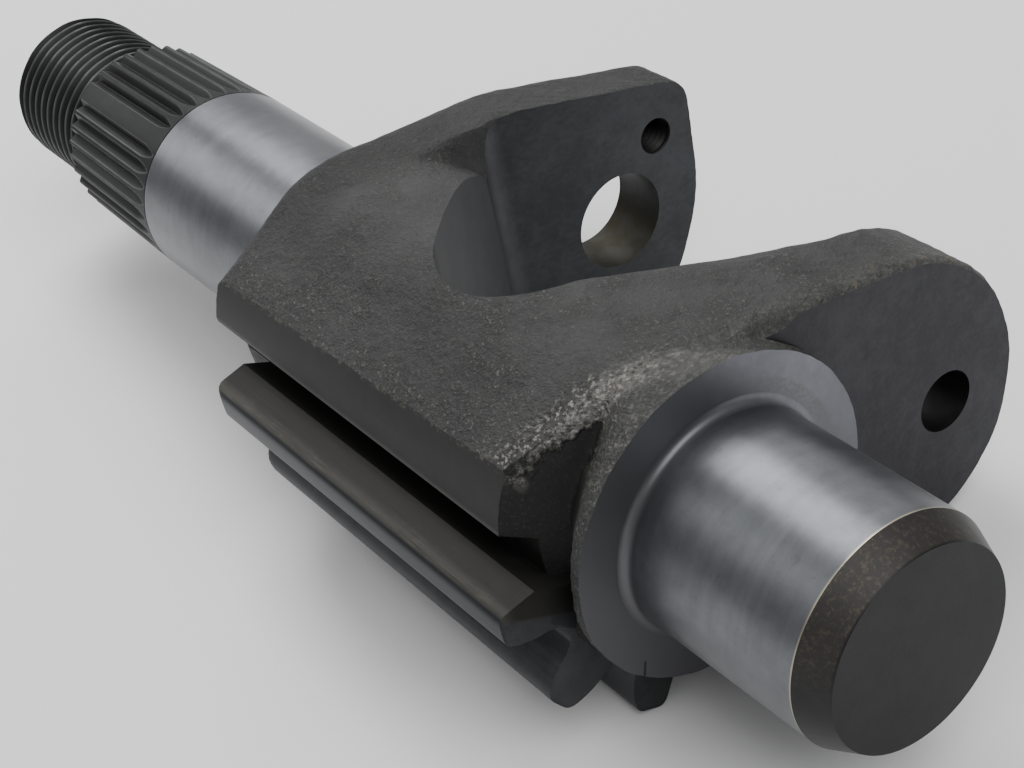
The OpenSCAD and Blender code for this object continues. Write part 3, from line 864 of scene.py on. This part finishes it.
def forkTool():
    endY = -fork["depth"]
    farX = head["farEar"]
    nearX = head["nearEar"]
    # The cutter of the far corner bites into the flare and runs out into the ear's face
    cutter = (farX + fork["cornerR"], fork["flareY"] + fork["cornerOut"] * fork["cornerR"])
    corner = Vector((farX, fork["flareY"]))
    slope = Vector((fork["farRun"], endY - fork["flareY"])).normalized()
    off = slope.orthogonal().dot(Vector(cutter) - corner)
    along = slope.dot(Vector(cutter) - corner)
    meet = corner + slope * (along + math.sqrt(fork["cornerR"] ** 2 - off ** 2))
    first = math.degrees(math.atan2(meet.y - cutter[1], meet.x - cutter[0])) % 360
    bite = [(*polar(fork["cornerR"], 180 + (first - 180) * i / 12, cutter), 0) for i in range(13)]
    plan = roundedOutline([
        (farX, fork["reach"], 0), *bite, (farX + fork["farRun"], endY, fork["floorR"]),
        (nearX - fork["nearRun"], endY, fork["floorR"]), (nearX, endY + fork["nearRise"], fork["nearR"]),
        (nearX, fork["reach"], 0),
    ], 28)
    lean = math.radians(fork["lean"])
    points = []
    for level in (-80.0, 40.0):
        for x, y in plan:
            across = y * math.cos(lean) - level * math.sin(lean)
            points.append((x, across, fork["height"] + y * math.sin(lean) + level * math.cos(lean)))
    return faceOutward(meshObject("forkTool", points, closedSkin(2, len(plan)), [millSteel]))


# The groove beside an outer tooth, in degrees past the tooth's crest
groove = {"overlap": 2.2, "width": 11.0, "mouth": 4.8, "flank": 2.5}


def sideGrooveTool(side):
    last = sector["middle"] + side * sector["pitch"] * (sector["teeth"] - 1) / 2
    tip = sector["tipHalf"]
    begin = last + side * (tip - groove["overlap"])
    end = last + side * (tip + groove["width"])
    outline = [polar(head["farR"], begin + (end - begin) * i / 16) for i in range(17)]
    outline.append(polar(head["bandR"] + 3, end + side * 0.6))
    outline.append(polar(sector["tipR"] + 1, last + side * (tip + groove["mouth"])))
    outline.append(polar(sector["tipR"] + 1, last + side * tip))
    outline.append(polar(sector["tipR"] - 1.8, last + side * (tip + 0.5)))
    outline.append(polar(sector["baseR"], last + side * (tip + groove["flank"])))
    return prism("grooveTool", outline, head["beyond"], -5.2, toothSteel)


def bandTool():
    # Everything outside the turned band on the thick back
    high = 120
    low = 182
    outer = [polar(head["bandR"] + 4, low - (low - high) * i / 24) for i in range(25)]
    inner = [polar(head["bandR"], high + (low - high) * i / 48) for i in range(49)]
    return prism("bandTool", outer + inner, head["beyond"], -head["bandBack"] + 4, bandSteel)


def earFaceTool():
    # Machined face of the near ear: outside the thrust disc and above the journal
    ring = [polar(head["discR"], -100 + 173 * i / 84) for i in range(85)]
    outline = ring + [(8, 60), (90, 60), (90, -60), (-6, -60)]
    return prism("earFaceTool", outline, head["nearFace"], 12, faceSteel)


# The tapped hole, placed from the pin
screw = {"r": 3.375, "out": 8.1, "up": 15.4, "pitch": 1.25, "crest": 0.6, "turnDepth": 0.55, "mouth": 0.2}


def screwTool():
    # Tapped hole with its turns as rings and a small countersink
    centre = (head["pin"] + screw["out"], head["pinUp"] + screw["up"])
    r = screw["r"]
    profile = [(head["beyond"], r)]
    x = head["farFace"] - 1.0
    while x < head["farEar"] - 1.0:
        profile += [(x, r), (x + screw["crest"], r + screw["turnDepth"])]
        x += screw["pitch"]
    profile += [(head["farEar"] - 0.3, r), (head["farEar"], r + screw["mouth"]), (-80.0, r + screw["mouth"])]
    count = 48
    points = [(x, *polar(r, 360 * k / count, centre)) for x, r in profile for k in range(count)]
    return faceOutward(meshObject("screwTool", points, closedSkin(len(profile), count), [holeSteel]))


def buildHead():
    low = (-103.0, -36.0, -31.5)
    high = (2.5, 73.0, 33.5)
    points, quads = netSurface(forgedDistance, low, high, forging["cell"])
    thing = meshObject("forgedHead", points, quads, [skin])
    pin = (head["pin"], head["pinUp"])
    square = [(-45, -45), (90, -45), (90, 45), (-45, 45)]
    tools = [
        prism("faceTool", square, 0, 8, discSteel),
        prism("farFaceTool", square, head["beyond"], head["farFace"], faceSteel),
        earFaceTool(),
        bandTool(),
        sideGrooveTool(-1),
        sideGrooveTool(1),
        forkTool(),
        prism("farBore", circleOutline(pin, head["boreR"]), head["beyond"], -80, boreSteel),
        prism("nearBore", circleOutline(pin, head["pinHoleR"], 64), -30, 8, holeSteel),
        screwTool(),
    ]
    cutAway(thing, tools)
    markPlaces(thing)
    return addPiece(thing)


forgedHead = buildHead()
print("head built", len(forgedHead.data.polygons), [m.name for m in forgedHead.data.materials])


def tipCurve(foot, corner, crown):
    # Rounded corner between a flank and a crest
    curve = []
    for t in (0.0, 0.2, 0.4, 0.6, 0.8):
        shares = ((1 - t) ** 2, 2 * t * (1 - t), t * t)
        curve.append(tuple(sum(w * v for w, v in zip(shares, triple)) for triple in zip(foot, corner, crown)))
    return curve


def toothOutline():
    # Outline of the sector from the outer flank of the first tooth to that of the last
    def half(r):
        a = math.acos(min(1.0, sector["baseR"] / r))
        return sector["half"] - math.degrees(math.tan(a) - a)

    first = sector["middle"] - sector["pitch"] * (sector["teeth"] - 1) / 2
    last = sector["middle"] + sector["pitch"] * (sector["teeth"] - 1) / 2
    tip = sector["tipR"]
    root = sector["rootR"]
    base = sector["baseR"]
    outline = [polar(head["farR"] - 4, first), polar(head["farR"], first - 2)]
    outline.append(polar(base, first - sector["outerFoot"]))
    crest = half(tip) - sector["cornerTurn"]
    flank = [base + (tip - sector["cornerR"] - base) * k / 8 for k in range(9)]
    for i in range(sector["teeth"]):
        middle = first + i * sector["pitch"]
        foot = half(flank[-1]) if i > 0 else sector["outerHalf"]
        if i > 0:
            outline.append(polar(root + 0.5, middle - sector["half"] - 2.2))
            outline += [polar(r, middle - half(r)) for r in flank[:-1]]
        corner = polar(tip, middle - half(tip))
        outline += tipCurve(polar(flank[-1], middle - foot), corner, polar(tip, middle - crest))
        outline += [polar(tip, middle + crest * (k / 2 - 1)) for k in range(5)]
        foot = half(flank[-1]) if i < sector["teeth"] - 1 else sector["outerHalf"]
        corner = polar(tip, middle + half(tip))
        outline += reversed(tipCurve(polar(flank[-1], middle + foot), corner, polar(tip, middle + crest)))
        if i < sector["teeth"] - 1:
            outline += [polar(r, middle + half(r)) for r in reversed(flank[:-1])]
            outline.append(polar(root + 0.5, middle + sector["half"] + 2.2))
            gap = sector["pitch"] / 2 - sector["half"] - 4.2
            outline += [polar(root, middle + sector["pitch"] / 2 + gap * (k / 2 - 1)) for k in range(5)]
    outline += [polar(base, last + sector["outerFoot"]), polar(head["farR"], last + 2)]
    outline.append(polar(head["farR"] - 4, last))
    return outline


def buildSector():
    start = -sector["back"] - sector["length"]
    outline = toothOutline()
    # The far ends of the teeth are rounded over towards their crests
    over = sector["endRound"]
    xs = [start + over * (1 - math.cos(math.radians(15 * k))) for k in range(7)] + [-sector["back"]]
    points = []
    for x in xs:
        lack = max(0.0, over - (x - start))
        limit = sector["tipR"] - over + math.sqrt(over * over - lack * lack)
        for y, z in outline:
            share = min(1.0, limit / math.hypot(y, z))
            points.append((x, y * share, z * share))
    faces = closedSkin(len(xs), len(outline))
    thing = faceOutward(meshObject("gearSector", points, faces, [toothSteel]))
    bevel = thing.modifiers.new("edges", "BEVEL")
    bevel.width = 0.0005
    bevel.segments = 3
    bevel.limit_method = "ANGLE"
    bevel.angle_limit = math.radians(35)
    made = evaluatedMesh(thing)
    thing.modifiers.clear()
    thing.data = made
    markPlaces(thing)
    return addPiece(thing)


buildSector()
print("sector built")


def turned(name, profile, materials, places, segments=192):
    # Surface of revolution about the shaft from points (x, radius), one material index a step
    points = [(x, *polar(r, 360 * k / segments)) for x, r in profile for k in range(segments)]
    marks = [mark for mark in places[:len(profile) - 1] for k in range(segments)] + [places[0], places[-1]]
    thing = meshObject(name, points, closedSkin(len(profile), segments), materials, marks)
    markPlaces(faceOutward(thing))
    return addPiece(thing)


def buildNearJournal():
    ring = [polar(shaft["ring"], 270 - 15 * i, (shaft["r"] + shaft["ring"], shaft["ring"])) for i in range(7)]
    profile = [(-1.5, shaft["r"] + shaft["ring"])]
    profile += [(x, r) for r, x in ring]
    profile += [(shaft["ring"] + 0.3, shaft["r"]), (shaft["nearEnd"] - shaft["chamfer"], shaft["r"])]
    profile += [(shaft["nearEnd"], shaft["r"] - shaft["chamferDepth"])]
    places = [2] * 7 + [0] * (len(profile) - 9) + [1, 1]
    return turned("nearJournal", profile, [journalSteel, endSteel, discSteel], places)


def buildFarJournal():
    r = shaft["r"]
    profile = [(-99.0, r + 1.2), (-100.5, r + 1.2), (-100.85, r + 0.35), (-101.7, r), (-102.0, r)]
    profile += [(shaft["serrationX"] + 0.8, r), (shaft["serrationX"] + 0.4, r)]
    profile += [(shaft["serrationX"] - 1.0, r - 1.5)]
    return turned("farJournal", profile, [journalSteel], [0] * len(profile))


buildNearJournal()
buildFarJournal()
print("journals built")


# The serrations: their count, the angle of the one that is left uncut, and the groove's own sizes
teethCut = {"count": 36, "depth": 1.3, "blankAt": 137.4, "runOut": 5.5, "halfWidth": 4.15}


def serrationRadius(x, angle):
    start = shaft["serrationX"]
    along = min(1.0, max(0.0, (start - x) / (start - shaft["threadX"])))
    outer = shaft["r"] + (shaft["tipR"] - shaft["r"]) * along
    if x < shaft["threadX"] + 1.2:
        outer -= shaft["threadX"] + 1.2 - x
    pitch = 360 / teethCut["count"]
    turnAt = (angle - teethCut["blankAt"]) / pitch
    nearest = round(turnAt)
    if nearest % teethCut["count"] == 0:
        return outer
    away = abs(turnAt - nearest) * pitch
    reach = max(0.0, x - (start - teethCut["runOut"]))
    depth = teethCut["depth"] - reach * reach * teethCut["depth"] / teethCut["runOut"] ** 2
    cut = depth - teethCut["depth"] * away / teethCut["halfWidth"]
    return outer - max(0.0, cut)


def buildSerrations():
    pitch = 360 / teethCut["count"]
    steps = (-4.99, -4.6, -4.15, -3.6, -2.8, -1.9, -1.0, -0.3, 0.3, 1.0, 1.9, 2.8, 3.6, 4.15, 4.6)
    angles = [teethCut["blankAt"] + i * pitch + s for i in range(teethCut["count"]) for s in steps]
    xs = [shaft["serrationX"] + 0.1 - 0.28 * i for i in range(22)]
    xs += list(np.linspace(xs[-1] - 1.0, shaft["threadX"] + 1.2, 14))
    xs += [shaft["threadX"] + 0.6, shaft["threadX"]]
    points = [(x, *polar(serrationRadius(x, angle), angle)) for x in xs for angle in angles]
    thing = meshObject("serratedTaper", points, closedSkin(len(xs), len(angles)), [darkSteel])
    markPlaces(faceOutward(thing), 24)
    return addPiece(thing)


buildSerrations()
print("serrations built")

# The thread, with the steps along a turn and round it
thread = {
    "pitch": 2.82, "depth": 1.55, "neck": 2.4, "neckDepth": 1.1, "chamfer": 1.8, "steps": 10, "around": 144,
}


def buildThread():
    # Rows follow the helix, so that crests and roots stay sharp
    p = thread["pitch"]
    around = thread["around"]
    steps = thread["steps"]
    start = shaft["tailX"]
    end = shaft["threadX"] - thread["neck"]
    rows = int((end - start) / p * steps) + steps + 2
    points = []
    for row in range(rows):
        for k in range(around + 1):
            share = k / around
            phase = row / steps + share - 1.0
            x = min(max(start + phase * p, start), end)
            tooth = abs((phase % 1.0) - 0.5) * 2
            r = shaft["threadR"] - thread["depth"] * min(1.0, max(0.0, tooth * 1.22 - 0.11))
            r = min(r, shaft["threadR"] - thread["chamfer"] + (x - start))
            r = min(r, shaft["threadR"] - thread["neckDepth"] + max(0.0, (end - x)) * 1.2)
            points.append((x, *polar(r, 360 * share)))
    faces = []
    width = around + 1
    for row in range(rows - 1):
        for k in range(around):
            here = row * width + k
            faces.append((here, here + width, here + width + 1, here + 1))
    thing = faceOutward(meshObject("endThread", points, faces, [darkSteel]), 0.000005)
    markPlaces(thing, 32)
    return addPiece(thing)


def buildTail():
    # Core of the threaded end: the flat end face and the neck before the serrations
    r = shaft["threadR"] - thread["chamfer"]
    neckX = shaft["threadX"] - thread["neck"]
    neckR = shaft["threadR"] - thread["neckDepth"]
    profile = [(shaft["tailX"], r), (shaft["tailX"] + 2, r - 0.4), (neckX - 1, r - 0.4)]
    profile += [(neckX + 0.1, neckR), (shaft["threadX"] + 0.5, neckR)]
    return turned("threadCore", profile, [darkSteel], [0] * len(profile))


buildThread()
buildTail()
print("thread built")

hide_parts("yoke_shaft")

# Floor, lights and surroundings
stageLook = {"floorTone": 0.84, "floorReach": 3.0, "worldTone": 1.0, "worldPower": 0.3}
# Soft boxes: place, the point of the shaft's axis that they face, width and height, and power
lights = {
    "stripBox": {"place": (-0.57, 0.21, 0.79), "aim": -0.04, "size": (0.5, 0.85), "power": 7.8},
    "backBox": {"place": (-0.95, 0.98, 0.6), "aim": -0.06, "size": (0.7, 0.8), "power": 1.8},
    "farBox": {"place": (-0.95, -0.3, 0.5), "aim": -0.14, "size": (0.4, 0.4), "power": 1.9},
    "keyBox": {"place": (0.75, -0.1, 1.1), "aim": -0.05, "size": (0.9, 0.9), "power": 14.0},
    "sideBox": {"place": (-0.6, -0.6, 0.7), "aim": -0.08, "size": (0.5, 0.5), "power": 0.9},
}


def buildStage():
    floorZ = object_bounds()[0][2]
    reach = stageLook["floorReach"]
    corners = [(x * reach, y * reach, floorZ) for x, y in ((-1, -1), (1, -1), (1, 1), (-1, 1))]
    mesh = bpy.data.meshes.new("floor")
    mesh.from_pydata(corners, [], [(0, 1, 2, 3)])
    floor = bpy.data.objects.new("floor", mesh)
    bpy.context.scene.collection.objects.link(floor)
    material = bpy.data.materials.new("floorCard")
    material.use_nodes = True
    shader = material.node_tree.nodes["Principled BSDF"]
    shader.inputs["Base Color"].default_value = (stageLook["floorTone"],) * 3 + (1.0,)
    shader.inputs["Roughness"].default_value = 0.9
    mesh.materials.append(material)
    world = bpy.data.worlds.new("studio")
    world.use_nodes = True
    background = world.node_tree.nodes["Background"]
    background.inputs["Color"].default_value = (stageLook["worldTone"],) * 3 + (1.0,)
    background.inputs["Strength"].default_value = stageLook["worldPower"]
    bpy.context.scene.world = world


def softBox(name, light):
    data = bpy.data.lights.new(name, "AREA")
    data.shape = "RECTANGLE"
    data.size, data.size_y = light["size"]
    data.energy = light["power"]
    lamp = bpy.data.objects.new(name, data)
    bpy.context.scene.collection.objects.link(lamp)
    lamp.location = light["place"]
    aim = Vector((light["aim"], 0.0, 0.0)) - Vector(light["place"])
    lamp.rotation_mode = "QUATERNION"
    lamp.rotation_quaternion = aim.to_track_quat("-Z", "Y")


buildStage()
for name, light in lights.items():
    softBox(name, light)
print("stage set")
